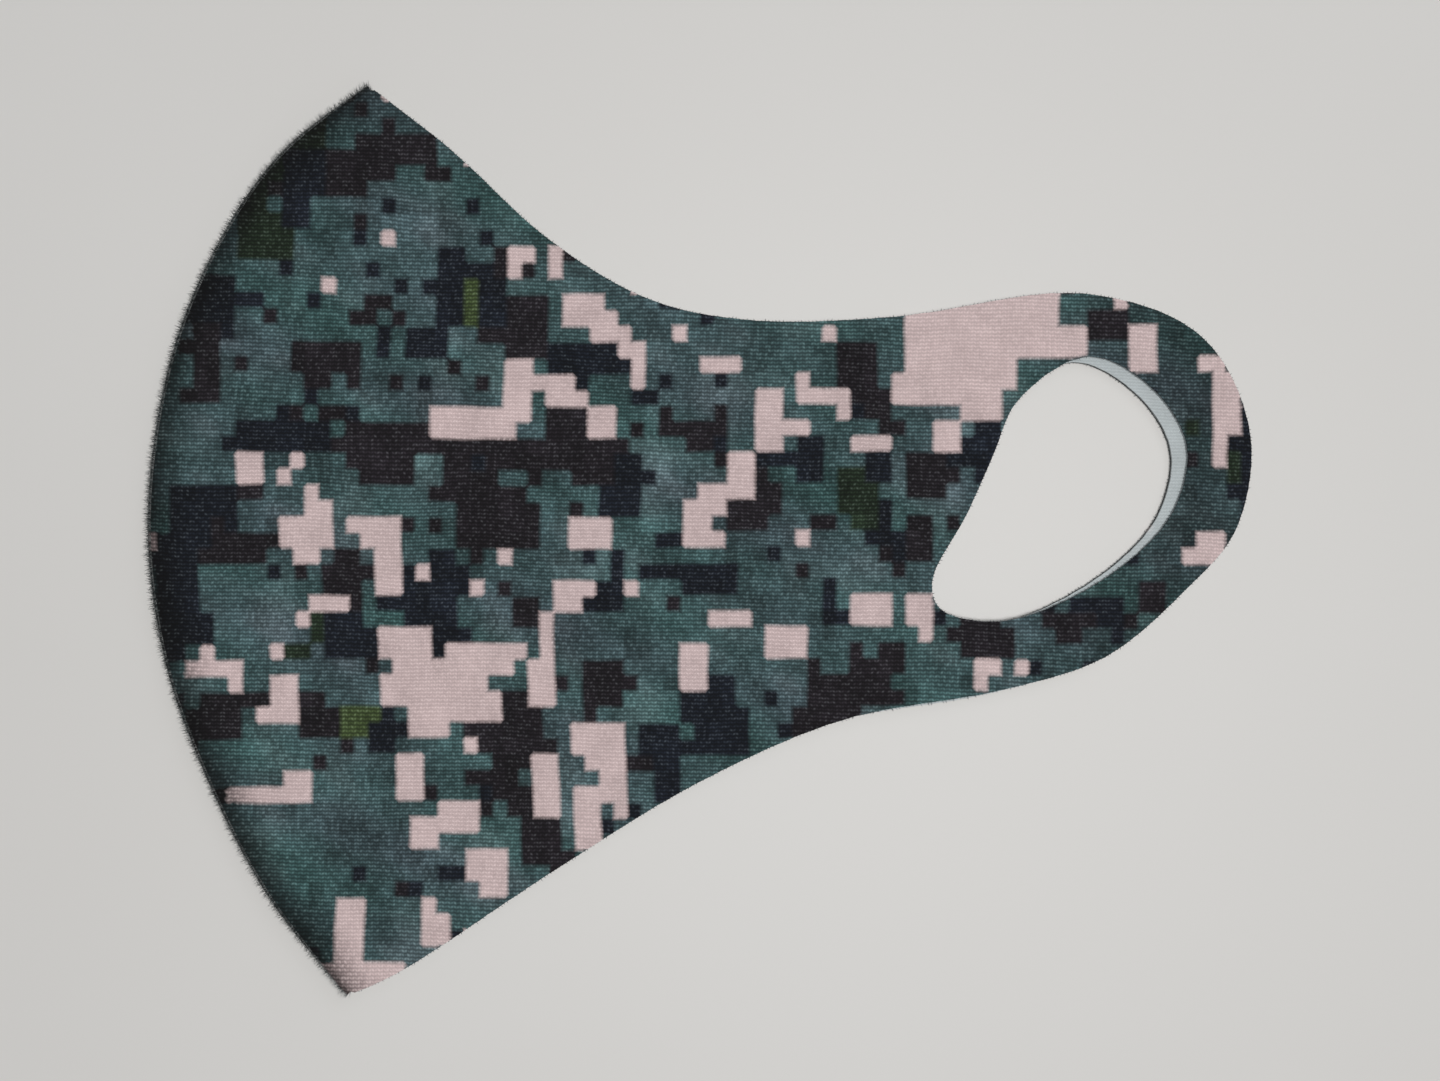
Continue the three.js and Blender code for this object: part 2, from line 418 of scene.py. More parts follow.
def print_colours_and_shade(places, cloth, colours):
    """The dye at each place on the cloth, with the ground's painted shade towards the ear loop. Each block
    takes the dye a little more or less deeply.
    """
    tones = print_layout(cloth)
    blocks = np.floor(to_print(places - wobble(places), cloth)).astype(int) + GRID_MARGIN
    columns, rows = np.clip(blocks, 0, 2 * GRID_MARGIN - 1).T
    picked = ground_dye_and_shade(places, colours)
    for tone in PATCHES:
        picked[tones[rows, columns] == tone] = getattr(colours, tone)
    luck = np.random.default_rng(cloth.seed + 1).standard_normal(tones.shape)
    luck += np.roll(luck, 1, 0) + np.roll(luck, 1, 1)
    uneven = np.where(tones == "pale", 0.012, 0.1)
    shade = np.exp(uneven * luck)
    return np.c_[picked * shade[rows, columns, None], np.ones(len(picked))]


# ---------------------------------------------------------------- cloth pattern of one half

class HalfPattern:
    """The flat cut of one half: its points, triangles and the rows that roll round the front seam."""

    def __init__(self, side, cloth):
        step = cloth.edge_step
        seam_passes, edge_passes = 12, 6
        tip_reach = 14
        outline, hole = closed_loops(side)
        outline = np.roll(outline, -int(np.argmax(outline[:, 1])), axis=0)
        chin = int(np.argmin(outline[:, 1]))
        seam = soften(resample(outline[:chin + 1], step), seam_passes)
        rear = resample(np.r_[outline[chin:], outline[:1]], step)
        tips = (seam[0], seam[-1])
        along = directions(seam)
        self.seam = seam
        self.outward = np.c_[along[:, 1], -along[:, 0]]
        from_tip = np.min([np.linalg.norm(seam - tip, axis=1) for tip in tips], axis=0)
        self.reach = ROLL_HEIGHT + (ROLL_REACH - ROLL_HEIGHT) * ease(from_tip / tip_reach)
        self.ring = seam - self.reach[:, None] * self.outward
        clear = np.min([np.linalg.norm(rear - tip, axis=1) for tip in tips], axis=0)
        rear = soften(rear, edge_passes)
        rear = rear[clear > 1.2 * ROLL_HEIGHT]
        hole = soften(resample(np.r_[hole, hole[:1]], step), edge_passes)[:-1]
        rough = 0.035
        for cut, seed in ((rear, 31), (hole, 33)):
            cut += rough * np.c_[waves(cut, (0.9, 1.7, 2.9), seed), waves(cut, (1.1, 1.9, 3.1), seed + 1)]
        border = np.r_[self.ring, rear]
        lattice = self.lattice(border, hole, cloth)
        places = np.r_[border, hole, lattice]
        rim = [(i, (i + 1) % len(border)) for i in range(len(border))]
        rim += [(len(border) + i, len(border) + (i + 1) % len(hole)) for i in range(len(hole))]
        self.ring_count = len(self.ring)
        self.rear_count = len(rear)
        self.hole_count = len(hole)
        self.places = places
        self.triangles = self.triangulate(places, rim, border, hole)
        self.add_roll()

    @staticmethod
    def lattice(border, hole, cloth):
        """Points on both sides of every block edge and down the middle of every block."""
        ramp, clear = 0.36, 0.27
        lines = np.arange(-GRID_MARGIN, GRID_MARGIN)
        ramps = (ramp / cloth.block_width, ramp / cloth.block_height)
        columns, rows = (np.sort(np.r_[lines - share, lines + share, lines + 0.5]) for share in ramps)
        grid = from_print(np.stack(np.meshgrid(columns, rows), -1).reshape(-1, 2), cloth)
        low, high = border.min(axis=0), border.max(axis=0)
        grid = grid[np.all((grid > low) & (grid < high), axis=1)]
        grid = grid + wobble(grid)
        grid = grid[inside(grid, border)]
        grid = grid[~inside(grid, hole)]
        return grid[distances_to(np.r_[border, hole], grid) > clear]

    @staticmethod
    def triangulate(places, rim, border, hole):
        """Triangles between the points, all turned the same way, none outside the cloth."""
        found = geometry.delaunay_2d_cdt([Vector(place) for place in places], rim, [], 0, 1e-6)
        origin = [sources[0] for sources in found[3]]
        triangles = np.array([[origin[corner] for corner in face] for face in found[2]])
        middles = places[triangles].mean(axis=1)
        keep = inside(middles, border) & ~inside(middles, hole)
        triangles = triangles[keep]
        a, b, c = (places[triangles[:, i]] for i in range(3))
        turned = np.cross(b - a, c - a) < 0
        triangles[turned] = triangles[turned][:, ::-1]
        return triangles

    def add_roll(self):
        """Rows of points that carry the cloth round the seam, half a turn of an ellipse."""
        steps = 14
        ring, count, base = self.ring, len(self.ring), len(self.places)
        half_turn = math.pi * np.sqrt((self.reach ** 2 + ROLL_HEIGHT ** 2) / 2)
        flat, angle, foot = [self.places], [np.zeros(base)], [self.places]
        swing = [np.zeros((base, 3))]
        triangles = [self.triangles]
        inner = np.arange(count)
        for row in range(1, steps + 1):
            flat.append(ring + self.outward * (half_turn * row / steps)[:, None])
            angle.append(np.full(count, math.pi * row / steps))
            foot.append(ring)
            swing.append(np.c_[self.outward, self.reach])
            outer = base + (row - 1) * count + np.arange(count)
            triangles.append(np.c_[inner[1:], inner[:-1], outer[:-1]])
            triangles.append(np.c_[inner[1:], outer[:-1], outer[1:]])
            inner = outer
        self.flat, self.angle, self.foot = (np.concatenate(rows) for rows in (flat, angle, foot))
        self.swing = np.concatenate(swing)
        self.triangles = np.concatenate(triangles)
        self.seam_distance = distances_to(ring, self.foot)
        hidden = 1 - np.sin(np.minimum(self.angle, math.pi / 2))
        flat_distance = self.seam_distance + ROLL_REACH
        self.fold_distance = np.where(self.angle > 0, self.swing[:, 2] * hidden, flat_distance)
        self.rim = np.zeros(len(self.flat), bool)
        self.rim[self.ring_count:self.ring_count + self.rear_count + self.hole_count] = True


@lru_cache(maxsize=None)
def pattern_of(side):
    """The pattern of one half, worked out once."""
    return HalfPattern(side, bpy.context.scene.mask_cloth)


def ease(value):
    """A smooth step from 0 to 1."""
    value = np.clip(value, 0, 1)
    return value * value * (3 - 2 * value)


def outer_height(places, seam_distance, side, cloth):
    """Height of a half's printed face above the surface, before the lower half is turned over.

    The cloth sinks away from the thick seam and towards the ear loop, and lies in waves between."""
    sag_reach, loop_start, loop_reach, stiff_reach = 40, 10, 60, 14
    headroom, quick_share = 0.1, 0.3
    sag, loop_sag, liveliness, seed = (0.35, 0.55, 1.0, 41) if side == "left" else (0.35, 0.1, 0.35, 42)
    settle = ease(seam_distance / sag_reach) * sag
    settle += ease((places[:, 0] - loop_start) / loop_reach) * loop_sag
    slow = waves(places, (62.0, 41.0, 83.0), seed)
    quick = waves(places, (17.0, 23.0, 12.0), seed + 2)
    swell = cloth.ripple * (slow + quick_share * quick)
    lively = ease(seam_distance / stiff_reach) * liveliness
    return FOLD_HEIGHT - settle + (swell - headroom) * lively


def roll_profile(angle):
    """How far out and how high the seam's roll is: round on top, squarer where the halves press together."""
    out, up = np.sin(angle), np.cos(angle)
    under = angle > math.pi / 2
    pressed, clearance = 0.5, 0.96
    out[under] = np.abs(out[under]) ** pressed
    up[under] = -clearance * np.abs(up[under]) ** pressed
    return out, up


def cloth_points(pattern, depth, side, cloth):
    """Where the pattern's points lie in space, at a depth under the printed face. Metres.

    The layers are pressed thinner near the seam, and their cut rims are crushed a little."""
    pressed, pressed_reach, crush = 0.76, 5, 0.07
    height = outer_height(pattern.foot, pattern.seam_distance, side, cloth)
    if side == "right":
        height = np.minimum(height, FOLD_HEIGHT - 2 * FLOOR_GAP)
    squeeze = pressed + (1 - pressed) * ease(pattern.seam_distance / pressed_reach)
    rolled = pattern.angle > 0
    points = np.empty((len(height), 3))
    points[:, :2] = pattern.foot
    points[:, 2] = height - depth * squeeze
    sine, cosine = roll_profile(pattern.angle)
    outward, reach = pattern.swing[:, :2], pattern.swing[:, 2] - depth * squeeze
    points[rolled, :2] += (outward * (reach * sine)[:, None])[rolled]
    points[rolled, 2] = (height - ROLL_HEIGHT + (ROLL_HEIGHT - depth * squeeze) * cosine)[rolled]
    points[pattern.rim, 2] -= crush * (1 - 2 * depth / FABRIC)
    if side == "right":
        points[:, 2] = FOLD_HEIGHT - points[:, 2]
    return points * MM


def build_slab(name, triangles, outer, inner, flip, values):
    """A closed mesh between two surfaces that share their triangles.

    Each of values is a point attribute: its label, kind, and data on the outer and the inner surface."""
    used = np.unique(triangles)
    order = np.full(len(outer), -1)
    order[used] = np.arange(len(used))
    triangles = order[triangles]
    count = len(used)
    sides = np.concatenate([triangles[:, [0, 1]], triangles[:, [1, 2]], triangles[:, [2, 0]]])
    keys = {(a, b) for a, b in sides.tolist()}
    walls = [(a + count, b + count, b, a) for a, b in sides.tolist() if (b, a) not in keys]
    faces = triangles.tolist() + (triangles[:, ::-1] + count).tolist() + walls
    if flip:
        faces = [face[::-1] for face in faces]
    mesh = bpy.data.meshes.new(name)
    mesh.from_pydata(np.concatenate([outer[used], inner[used]]).tolist(), [], faces)
    first_wall = 2 * len(triangles)
    mesh.polygons.foreach_set("use_smooth", np.arange(len(faces)) < first_wall)
    for wall in list(mesh.polygons)[first_wall:]:
        for loop in wall.loop_indices:
            mesh.edges[mesh.loops[loop].edge_index].use_edge_sharp = True
    for label, kind, outer_data, inner_data in values:
        attribute = mesh.attributes.new(label, kind, "POINT")
        both = np.concatenate([outer_data[used], inner_data[used]]).astype(np.float32)
        field = "color" if kind == "FLOAT_COLOR" else "vector" if kind == "FLOAT_VECTOR" else "value"
        attribute.data.foreach_set(field, both.ravel())
    mesh.update()
    obj = bpy.data.objects.new(name, mesh)
    bpy.context.scene.collection.objects.link(obj)
    return obj


def bend_front(obj):
    """Bakes the front part's place into its mesh."""
    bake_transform(obj)


def bend_rear(obj):
    """Bakes the rear part's place into its mesh."""
    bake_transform(obj)


# ---------------------------------------------------------------- node helpers

def fill_inputs(tree, node, inputs):
    """Plugs sockets or plain values into a node's inputs."""
    for key, value in inputs.items():
        if isinstance(value, bpy.types.NodeSocket):
            tree.links.new(value, node.inputs[key])
        elif value is not None:
            node.inputs[key].default_value = value


def add_node(tree, kind, inputs=None, **settings):
    """A node with its settings made and its inputs filled."""
    node = tree.nodes.new(kind)
    for name, value in settings.items():
        setattr(node, name, value)
    fill_inputs(tree, node, inputs or {})
    return node


def calc(tree, operation, a, b=None, c=None):
    """The result of a Math node."""
    return add_node(tree, "ShaderNodeMath", {0: a, 1: b, 2: c}, operation=operation).outputs[0]


def mix_colour(tree, blend, factor, a, b):
    """Two colours mixed."""
    mixed = add_node(tree, "ShaderNodeMix", {0: factor, 6: a, 7: b}, data_type="RGBA", blend_type=blend)
    return mixed.outputs[2]


def tinted(tree, colour, lightness):
    """A colour made lighter or darker by a number."""
    tint = add_node(tree, "ShaderNodeCombineColor", {"Red": lightness, "Green": lightness, "Blue": lightness})
    return mix_colour(tree, "MULTIPLY", 1.0, colour, tint.outputs[0])


def new_group(name, kind, inputs, outputs):
    """A node group with named sockets. Each input is (name, socket type, default)."""
    tree = bpy.data.node_groups.new(name, kind)
    for label, socket, default in inputs:
        made = tree.interface.new_socket(label, in_out="INPUT", socket_type=socket)
        if default is not None:
            made.default_value = default
    for label, socket in outputs:
        tree.interface.new_socket(label, in_out="OUTPUT", socket_type=socket)
    start = tree.nodes.new("NodeGroupInput")
    end = tree.nodes.new("NodeGroupOutput")
    return tree, start.outputs, end.inputs


def use_group(tree, group, **inputs):
    """The outputs of a node group placed in a material, with its own values."""
    node = add_node(tree, "ShaderNodeGroup", node_tree=group)
    fill_inputs(tree, node, {name.replace("_", " "): value for name, value in inputs.items()})
    return node.outputs


# ---------------------------------------------------------------- shader groups

@lru_cache(maxsize=None)
def knit_group():
    """Courses and wales of a fine knit: height, grooves between stitches, a glint on the tops of some stitches
    for painted highlights and lower roughness, uneven ones.
    """
    tree, given, out = new_group(
        "Knit", "ShaderNodeTree",
        [("Place", "NodeSocketVector", None), ("Course Pitch", "NodeSocketFloat", 0.57),
         ("Wale Pitch", "NodeSocketFloat", 0.5), ("Chevron", "NodeSocketFloat", 0.35)],
        [("Height", "NodeSocketFloat"), ("Groove", "NodeSocketFloat"), ("Spark", "NodeSocketFloat"),
         ("Grain", "NodeSocketFloat")],
    )
    drift = add_node(tree, "ShaderNodeTexNoise", {"Vector": given["Place"], "Scale": 0.06, "Detail": 1.0})
    bends = {0: drift.outputs["Color"], 1: (1.6, 1.6, 0), 2: given["Place"]}
    shifted = add_node(tree, "ShaderNodeVectorMath", bends, operation="MULTIPLY_ADD")
    split = add_node(tree, "ShaderNodeSeparateXYZ", {"Vector": shifted.outputs[0]})
    wale = calc(tree, "DIVIDE", split.outputs["X"], given["Wale Pitch"])
    zigzag = calc(tree, "PINGPONG", wale, 0.5)
    course = calc(tree, "DIVIDE", split.outputs["Y"], given["Course Pitch"])
    slanted = calc(tree, "MULTIPLY_ADD", zigzag, given["Chevron"], course)
    rib = calc(tree, "COSINE", calc(tree, "MULTIPLY", slanted, 2 * math.pi))
    rib = calc(tree, "MULTIPLY_ADD", rib, 0.5, 0.5)
    leg = calc(tree, "ABSOLUTE", calc(tree, "SINE", calc(tree, "MULTIPLY", wale, 2 * math.pi)))
    height = calc(tree, "MULTIPLY", rib, calc(tree, "MULTIPLY_ADD", leg, 0.62, 0.45))
    cell = add_node(tree, "ShaderNodeCombineXYZ", {
        "X": calc(tree, "FLOOR", calc(tree, "MULTIPLY", wale, 2.0)), "Y": calc(tree, "ROUND", slanted)})
    noise = add_node(tree, "ShaderNodeTexWhiteNoise", {"Vector": cell.outputs[0]}, noise_dimensions="2D")
    luck = noise.outputs["Value"]
    bright = calc(tree, "POWER", luck, 3.2)
    spark = calc(tree, "MULTIPLY", bright, calc(tree, "MULTIPLY", height, height))
    height = calc(tree, "MULTIPLY", height, calc(tree, "MULTIPLY_ADD", luck, 0.45, 0.78))
    tree.links.new(height, out["Height"])
    tree.links.new(calc(tree, "SUBTRACT", 1.0, height), out["Groove"])
    tree.links.new(spark, out["Spark"])
    tree.links.new(calc(tree, "MULTIPLY_ADD", luck, 2.0, -1.0), out["Grain"])
    return tree


@lru_cache(maxsize=None)
def mottle_group():
    """Slow uneven lightness of dyed cloth, about 1."""
    tree, given, out = new_group(
        "Mottle", "ShaderNodeTree",
        [("Place", "NodeSocketVector", None), ("Size", "NodeSocketFloat", 0.25),
         ("Amount", "NodeSocketFloat", 0.3)],
        [("Lightness", "NodeSocketFloat")],
    )
    place = given["Place"]
    broad = add_node(tree, "ShaderNodeTexNoise", {"Vector": place, "Scale": given["Size"], "Detail": 4.0})
    fine = add_node(tree, "ShaderNodeTexNoise", {"Vector": place, "Scale": 2.4, "Detail": 2.0})
    both = calc(tree, "MULTIPLY_ADD", broad.outputs[0], 0.6, calc(tree, "MULTIPLY", fine.outputs[0], 0.4))
    swing = calc(tree, "MULTIPLY", calc(tree, "SUBTRACT", both, 0.5), given["Amount"])
    tree.links.new(calc(tree, "MULTIPLY_ADD", swing, 2.0, 1.0), out["Lightness"])
    return tree


def flat_place(tree):
    """The cloth's own flat place, in millimetres, so that a pattern follows the cloth where it bends."""
    place = add_node(tree, "ShaderNodeAttribute", attribute_name="flat_place")
    return place.outputs["Vector"]


def dye_and_painted_shade(tree):
    """The print's colour with its painted shade, kept on the points of the cloth."""
    return add_node(tree, "ShaderNodeAttribute", attribute_name="print_dye_and_shade").outputs["Color"]


def object_place(tree):
    """The piece's own place, in metres."""
    return add_node(tree, "ShaderNodeTexCoord").outputs["Object"]


def new_material(name):
    """A material, its node tree and its Principled shader."""
    material = bpy.data.materials.new(name)
    material.use_nodes = True
    tree = material.node_tree
    return material, tree, tree.nodes["Principled BSDF"]


def set_surface(tree, shader, colour, rough, relief=None, depth=0.0, strength=0.0, **others):
    """A material's colour and roughness, its relief and whatever else it needs."""
    fill_inputs(tree, shader, {"Base Color": colour, "Roughness": rough})
    fill_inputs(tree, shader, {name.replace("_", " "): value for name, value in others.items()})
    if relief is not None:
        inputs = {"Height": relief, "Distance": depth * MM, "Strength": strength}
        fill_inputs(tree, shader, {"Normal": add_node(tree, "ShaderNodeBump", inputs).outputs[0]})


@lru_cache(maxsize=None)
def printed_knit():
    """Fine knit with the block print, matt; a few filaments are less rough and carry a painted glint, and the
    knit's grooves carry painted shade.
    """
    material, tree, shader = new_material("printed_knit")
    place = flat_place(tree)
    knit = use_group(tree, knit_group(), Place=place, Course_Pitch=0.57, Wale_Pitch=0.86)
    mottle = use_group(tree, mottle_group(), Place=place, Size=0.22, Amount=0.32)
    dye = dye_and_painted_shade(tree)
    depth = add_node(tree, "ShaderNodeSeparateColor", {"Color": dye}).outputs["Green"]
    contrast = calc(tree, "MULTIPLY_ADD", depth, -1.9, 1.25)
    # Painted light and shade from the knit: the colour is darker in the grooves between stitches and lighter
    # on their tops, more so on dark dyes.
    relief = calc(tree, "MULTIPLY_ADD", calc(tree, "SUBTRACT", 0.62, knit["Groove"]), contrast, 1.0)
    uneven = calc(tree, "MULTIPLY_ADD", knit["Grain"], calc(tree, "MULTIPLY_ADD", depth, -0.5, 0.3), 1.0)
    lightness = calc(tree, "MULTIPLY", calc(tree, "MULTIPLY", mottle["Lightness"], relief), uneven)
    # Painted highlight: a pale glint is mixed into the colour on the tops of some stitches.
    glint = calc(tree, "MULTIPLY", knit["Spark"], 0.1)
    colour = mix_colour(tree, "MIX", glint, tinted(tree, dye, lightness), (0.40, 0.46, 0.46, 1))
    rough = calc(tree, "MULTIPLY_ADD", knit["Spark"], -0.2, 0.86)
    set_surface(tree, shader, colour, rough, relief=knit["Height"], depth=0.14, strength=0.8,
                Sheen_Weight=0.03, Sheen_Roughness=0.6, Specular_IOR_Level=0.2)
    return material


@lru_cache(maxsize=None)
def lining_knit():
    """Pale smooth knit with a faint ghost of the print showing through."""
    material, tree, shader = new_material("lining_knit")
    place = flat_place(tree)
    knit = use_group(tree, knit_group(), Place=place, Course_Pitch=0.5, Wale_Pitch=0.42)
    mottle = use_group(tree, mottle_group(), Place=place, Size=0.3, Amount=0.2)
    dye = dye_and_painted_shade(tree)
    shade = calc(tree, "MULTIPLY_ADD", knit["Groove"], -0.22, 1.05)
    lightness = calc(tree, "MULTIPLY", mottle["Lightness"], shade)
    ghost = mix_colour(tree, "MIX", 0.16, (0.60, 0.655, 0.675, 1), dye)
    rough = calc(tree, "MULTIPLY_ADD", knit["Spark"], -0.2, 0.9)
    set_surface(tree, shader, tinted(tree, ghost, lightness), rough, relief=knit["Height"], depth=0.1,
                strength=0.6, Sheen_Weight=0.15, Specular_IOR_Level=0.3)
    return material


@lru_cache(maxsize=None)
def core_knit():
    """Springy filling yarn, seen only along the cut edges."""
    material, tree, shader = new_material("core_knit")
    noise = add_node(tree, "ShaderNodeTexNoise", {"Vector": flat_place(tree), "Scale": 4.2, "Detail": 3.0})
    tangle = noise.outputs[0]
    ramp = add_node(tree, "ShaderNodeValToRGB", {"Fac": tangle})
    ramp.color_ramp.elements[0].color = (0.16, 0.18, 0.19, 1)
    ramp.color_ramp.elements[0].position = 0.35
    ramp.color_ramp.elements[1].color = (0.55, 0.57, 0.58, 1)
    ramp.color_ramp.elements[1].position = 0.7
    rough = calc(tree, "MULTIPLY_ADD", tangle, 0.2, 0.8)
    set_surface(tree, shader, ramp.outputs[0], rough, relief=tangle, depth=0.1, strength=0.8)
    return material


@lru_cache(maxsize=None)
def seam_thread():
    """Dark spun sewing thread, its two plies showing as a fine slanted grain."""
    material, tree, shader = new_material("seam_thread")
    inputs = {"Vector": object_place(tree), "Scale": 1400.0, "Distortion": 2.0}
    ply = add_node(tree, "ShaderNodeTexWave", inputs, bands_direction="DIAGONAL").outputs["Fac"]
    colour = mix_colour(tree, "MIX", ply, (0.012, 0.015, 0.018, 1), (0.06, 0.07, 0.08, 1))
    rough = calc(tree, "MULTIPLY_ADD", ply, -0.15, 0.65)
    set_surface(tree, shader, colour, rough, relief=ply, depth=0.05, strength=0.8)
    return material


@lru_cache(maxsize=None)
def loose_fibre(name, dark, light):
    """Loose filaments, from dark at one to pale at the next."""
    material, tree, shader = new_material(name)
    inputs = {"Vector": object_place(tree), "Scale": 1700.0, "Detail": 1.0}
    noise = add_node(tree, "ShaderNodeTexNoise", inputs)
    luck = noise.outputs[0]
    reach = add_node(tree, "ShaderNodeMapRange", {"Value": luck, "From Min": 0.35, "From Max": 0.65})
    colour = mix_colour(tree, "MIX", reach.outputs[0], dark, light)
    set_surface(tree, shader, colour, calc(tree, "MULTIPLY_ADD", luck, 0.2, 0.5))
    return material


# ---------------------------------------------------------------- geometry node trees

def geometry_tree(name, inputs):
    """A geometry node tree that takes a path, its own sizes and a material."""
    sockets = [("Geometry", "NodeSocketGeometry", None), *inputs, ("Material", "NodeSocketMaterial", None)]
    return new_group(name, "GeometryNodeTree", sockets, [("Geometry", "NodeSocketGeometry")])


def close_tree(tree, given, out, shape):
    """Every tree ends in real geometry with its material on."""
    real = add_node(tree, "GeometryNodeRealizeInstances", {"Geometry": shape})
    inputs = {"Geometry": real.outputs[0], "Material": given["Material"]}
    dyed = add_node(tree, "GeometryNodeSetMaterial", inputs)
    tree.links.new(dyed.outputs[0], out["Geometry"])
    return tree


def evenly_spaced(tree, given, spacing):
    """The path as a curve with a point every so often."""
    curve = add_node(tree, "GeometryNodeMeshToCurve", {"Mesh": given["Geometry"]})
    inputs = {"Curve": curve.outputs[0], "Length": spacing}
    return add_node(tree, "GeometryNodeResampleCurve", inputs, mode="LENGTH").outputs[0]


def copies_on(tree, points, shape, turn, size):
    """A turned and sized copy of a shape on every point."""
    placed = add_node(tree, "GeometryNodeInstanceOnPoints", {
        "Points": points, "Instance": shape.outputs["Mesh"], "Rotation": turn.outputs[0],
        "Scale": size.outputs[0]})
    return placed.outputs[0]


@lru_cache(maxsize=None)
def fibre_tree():
    """Short tapered fibres standing off a path, leaning at random about its stored outward direction."""
    tree, given, out = geometry_tree("Fibres", [
        ("Spacing", "NodeSocketFloat", 0.2 * MM), ("Length", "NodeSocketFloat", 0.5 * MM),
        ("Radius", "NodeSocketFloat", 0.02 * MM), ("Lean", "NodeSocketFloat", 0.8),
        ("Seed", "NodeSocketInt", 0)])
    points = evenly_spaced(tree, given, given["Spacing"])
    cone = add_node(tree, "GeometryNodeMeshCone", {
        "Vertices": 4, "Side Segments": 1, "Radius Top": 0.004 * MM, "Radius Bottom": given["Radius"],
        "Depth": given["Length"]})
    outward = add_node(tree, "GeometryNodeInputNamedAttribute", {"Name": "outward"}, data_type="FLOAT_VECTOR")
    any_way = {0: (-1, -1, -1), 1: (1, 1, 1), "Seed": given["Seed"]}
    stray = add_node(tree, "FunctionNodeRandomValue", any_way, data_type="FLOAT_VECTOR")
    leaning = add_node(tree, "ShaderNodeVectorMath", {0: stray.outputs[0], "Scale": given["Lean"]},
                       operation="SCALE")
    heading = add_node(tree, "ShaderNodeVectorMath", {0: outward.outputs[0], 1: leaning.outputs[0]},
                       operation="ADD")
    turn = add_node(tree, "FunctionNodeAlignRotationToVector", {"Vector": heading.outputs[0]}, axis="Z")
    next_seed = calc(tree, "ADD", given["Seed"], 1.0)
    long_short = add_node(tree, "FunctionNodeRandomValue", {2: 0.35, 3: 1.25, "Seed": next_seed},
                          data_type="FLOAT")
    size = add_node(tree, "ShaderNodeCombineXYZ", {"X": 1.0, "Y": 1.0, "Z": long_short.outputs[1]})
    return close_tree(tree, given, out, copies_on(tree, points, cone, turn, size))


@lru_cache(maxsize=None)
def stitch_tree():
    """A run of separate stitches, each a short thick bead of thread laid along the path."""
    tree, given, out = geometry_tree("Stitches", [
        ("Stitch", "NodeSocketFloat", 2.2 * MM), ("Radius", "NodeSocketFloat", 0.13 * MM)])
    points = evenly_spaced(tree, given, given["Stitch"])
    bead = add_node(tree, "GeometryNodeMeshUVSphere", {"Segments": 8, "Rings": 6, "Radius": 1.0})
    along = add_node(tree, "GeometryNodeInputTangent")
    turn = add_node(tree, "FunctionNodeAlignRotationToVector", {"Vector": along.outputs[0]}, axis="Z")
    half = calc(tree, "MULTIPLY", given["Stitch"], 0.46)
    size = add_node(tree, "ShaderNodeCombineXYZ", {"X": given["Radius"], "Y": given["Radius"], "Z": half})
    return close_tree(tree, given, out, copies_on(tree, points, bead, turn, size))


@lru_cache(maxsize=None)
def overlock_tree():
    """One looper thread: it swings between the raw edge and the needle line as it runs along the path."""
    tree, given, out = geometry_tree("Overlock", [
        ("Stitch", "NodeSocketFloat", 2.2 * MM), ("Radius", "NodeSocketFloat", 0.13 * MM),
        ("Swing", "NodeSocketFloat", 3.4 * MM)])
    points = evenly_spaced(tree, given, calc(tree, "MULTIPLY", given["Stitch"], 0.5))
    along = add_node(tree, "GeometryNodeInputTangent")
    sideways = add_node(tree, "ShaderNodeVectorMath", {0: along.outputs[0], 1: (0, 0, 1)},
                        operation="CROSS_PRODUCT")
    order = add_node(tree, "GeometryNodeInputIndex")
    swing = calc(tree, "MULTIPLY", calc(tree, "MODULO", order.outputs[0], 2.0), given["Swing"])
    offset = add_node(tree, "ShaderNodeVectorMath", {0: sideways.outputs[0], "Scale": swing},
                      operation="SCALE")
    moved = add_node(tree, "GeometryNodeSetPosition", {"Geometry": points, "Offset": offset.outputs[0]})
    inputs = {"Curve": moved.outputs[0], "Radius": 0.35 * MM, "Count": 4}
    rounded = add_node(tree, "GeometryNodeFilletCurve", inputs, mode="POLY")
    ring = add_node(tree, "GeometryNodeCurvePrimitiveCircle", {"Resolution": 7, "Radius": given["Radius"]})
    tube = add_node(tree, "GeometryNodeCurveToMesh", {
        "Curve": rounded.outputs[0], "Profile Curve": ring.outputs[0], "Fill Caps": True})
    return close_tree(tree, given, out, tube.outputs[0])


def grow(name, points, outward, tree, material, **inputs):
    """Runs a geometry tree along a path of points and returns a plain mesh object, clear of the floor."""
    path = bpy.data.meshes.new(f"{name}_path")
    path.from_pydata(points.tolist(), [(i, i + 1) for i in range(len(points) - 1)], [])
    if outward is not None:
        attribute = path.attributes.new("outward", "FLOAT_VECTOR", "POINT")
        attribute.data.foreach_set("vector", outward.astype(np.float32).ravel())
    carrier = bpy.data.objects.new(f"{name}_carrier", path)
    bpy.context.scene.collection.objects.link(carrier)
    modifier = carrier.modifiers.new("Grow", "NODES")
    modifier.node_group = tree
    sockets = {item.name: item.identifier for item in tree.interface.items_tree if item.in_out == "INPUT"}
    for label, value in {**inputs, "Material": material}.items():
        modifier[sockets[label]] = value
    bpy.context.view_layer.update()
    depsgraph = bpy.context.evaluated_depsgraph_get()
    mesh = bpy.data.meshes.new_from_object(carrier.evaluated_get(depsgraph), depsgraph=depsgraph)
    mesh.name = name
    carrier.modifiers.remove(modifier)
    bpy.data.objects.remove(carrier)
    bpy.data.meshes.remove(path)
    places = np.empty(3 * len(mesh.vertices), np.float32)
    mesh.vertices.foreach_get("co", places)
    places[2::3] = np.maximum(places[2::3], FLOOR_GAP * MM)
    mesh.vertices.foreach_set("co", places)
    obj = bpy.data.objects.new(name, mesh)
    bpy.context.scene.collection.objects.link(obj)
    return obj


# ---------------------------------------------------------------- operators

